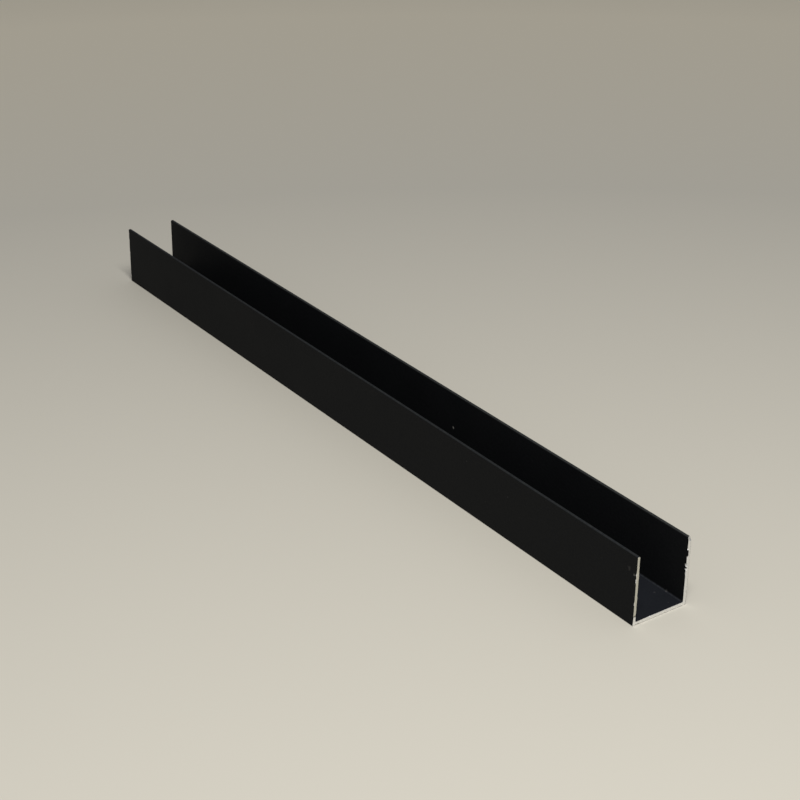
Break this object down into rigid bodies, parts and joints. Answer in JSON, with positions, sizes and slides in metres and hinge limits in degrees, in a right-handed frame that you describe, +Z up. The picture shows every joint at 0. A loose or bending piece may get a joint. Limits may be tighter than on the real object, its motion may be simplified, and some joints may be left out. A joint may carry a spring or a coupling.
{
  "type": "aluminium u-channel profile",
  "caption": "Straight extruded aluminium U-channel with thin square flanges, matt black coating and bare sawn ends; edges or holds the side of a board, panel or pane.",
  "frame": {"origin": "middle of the web's underside, which is the face that the channel stands on", "axes": "+X along the length towards the sawn end nearest in the picture, +Y across the channel, +Z up out of its open side"},
  "size_m": [0.3, 0.02, 0.022],
  "materials": {
    "black_coat": "matte"
  },
  "bodies": {
    "root": {"u_channel": "black_coat"}
  },
  "joints": []
}
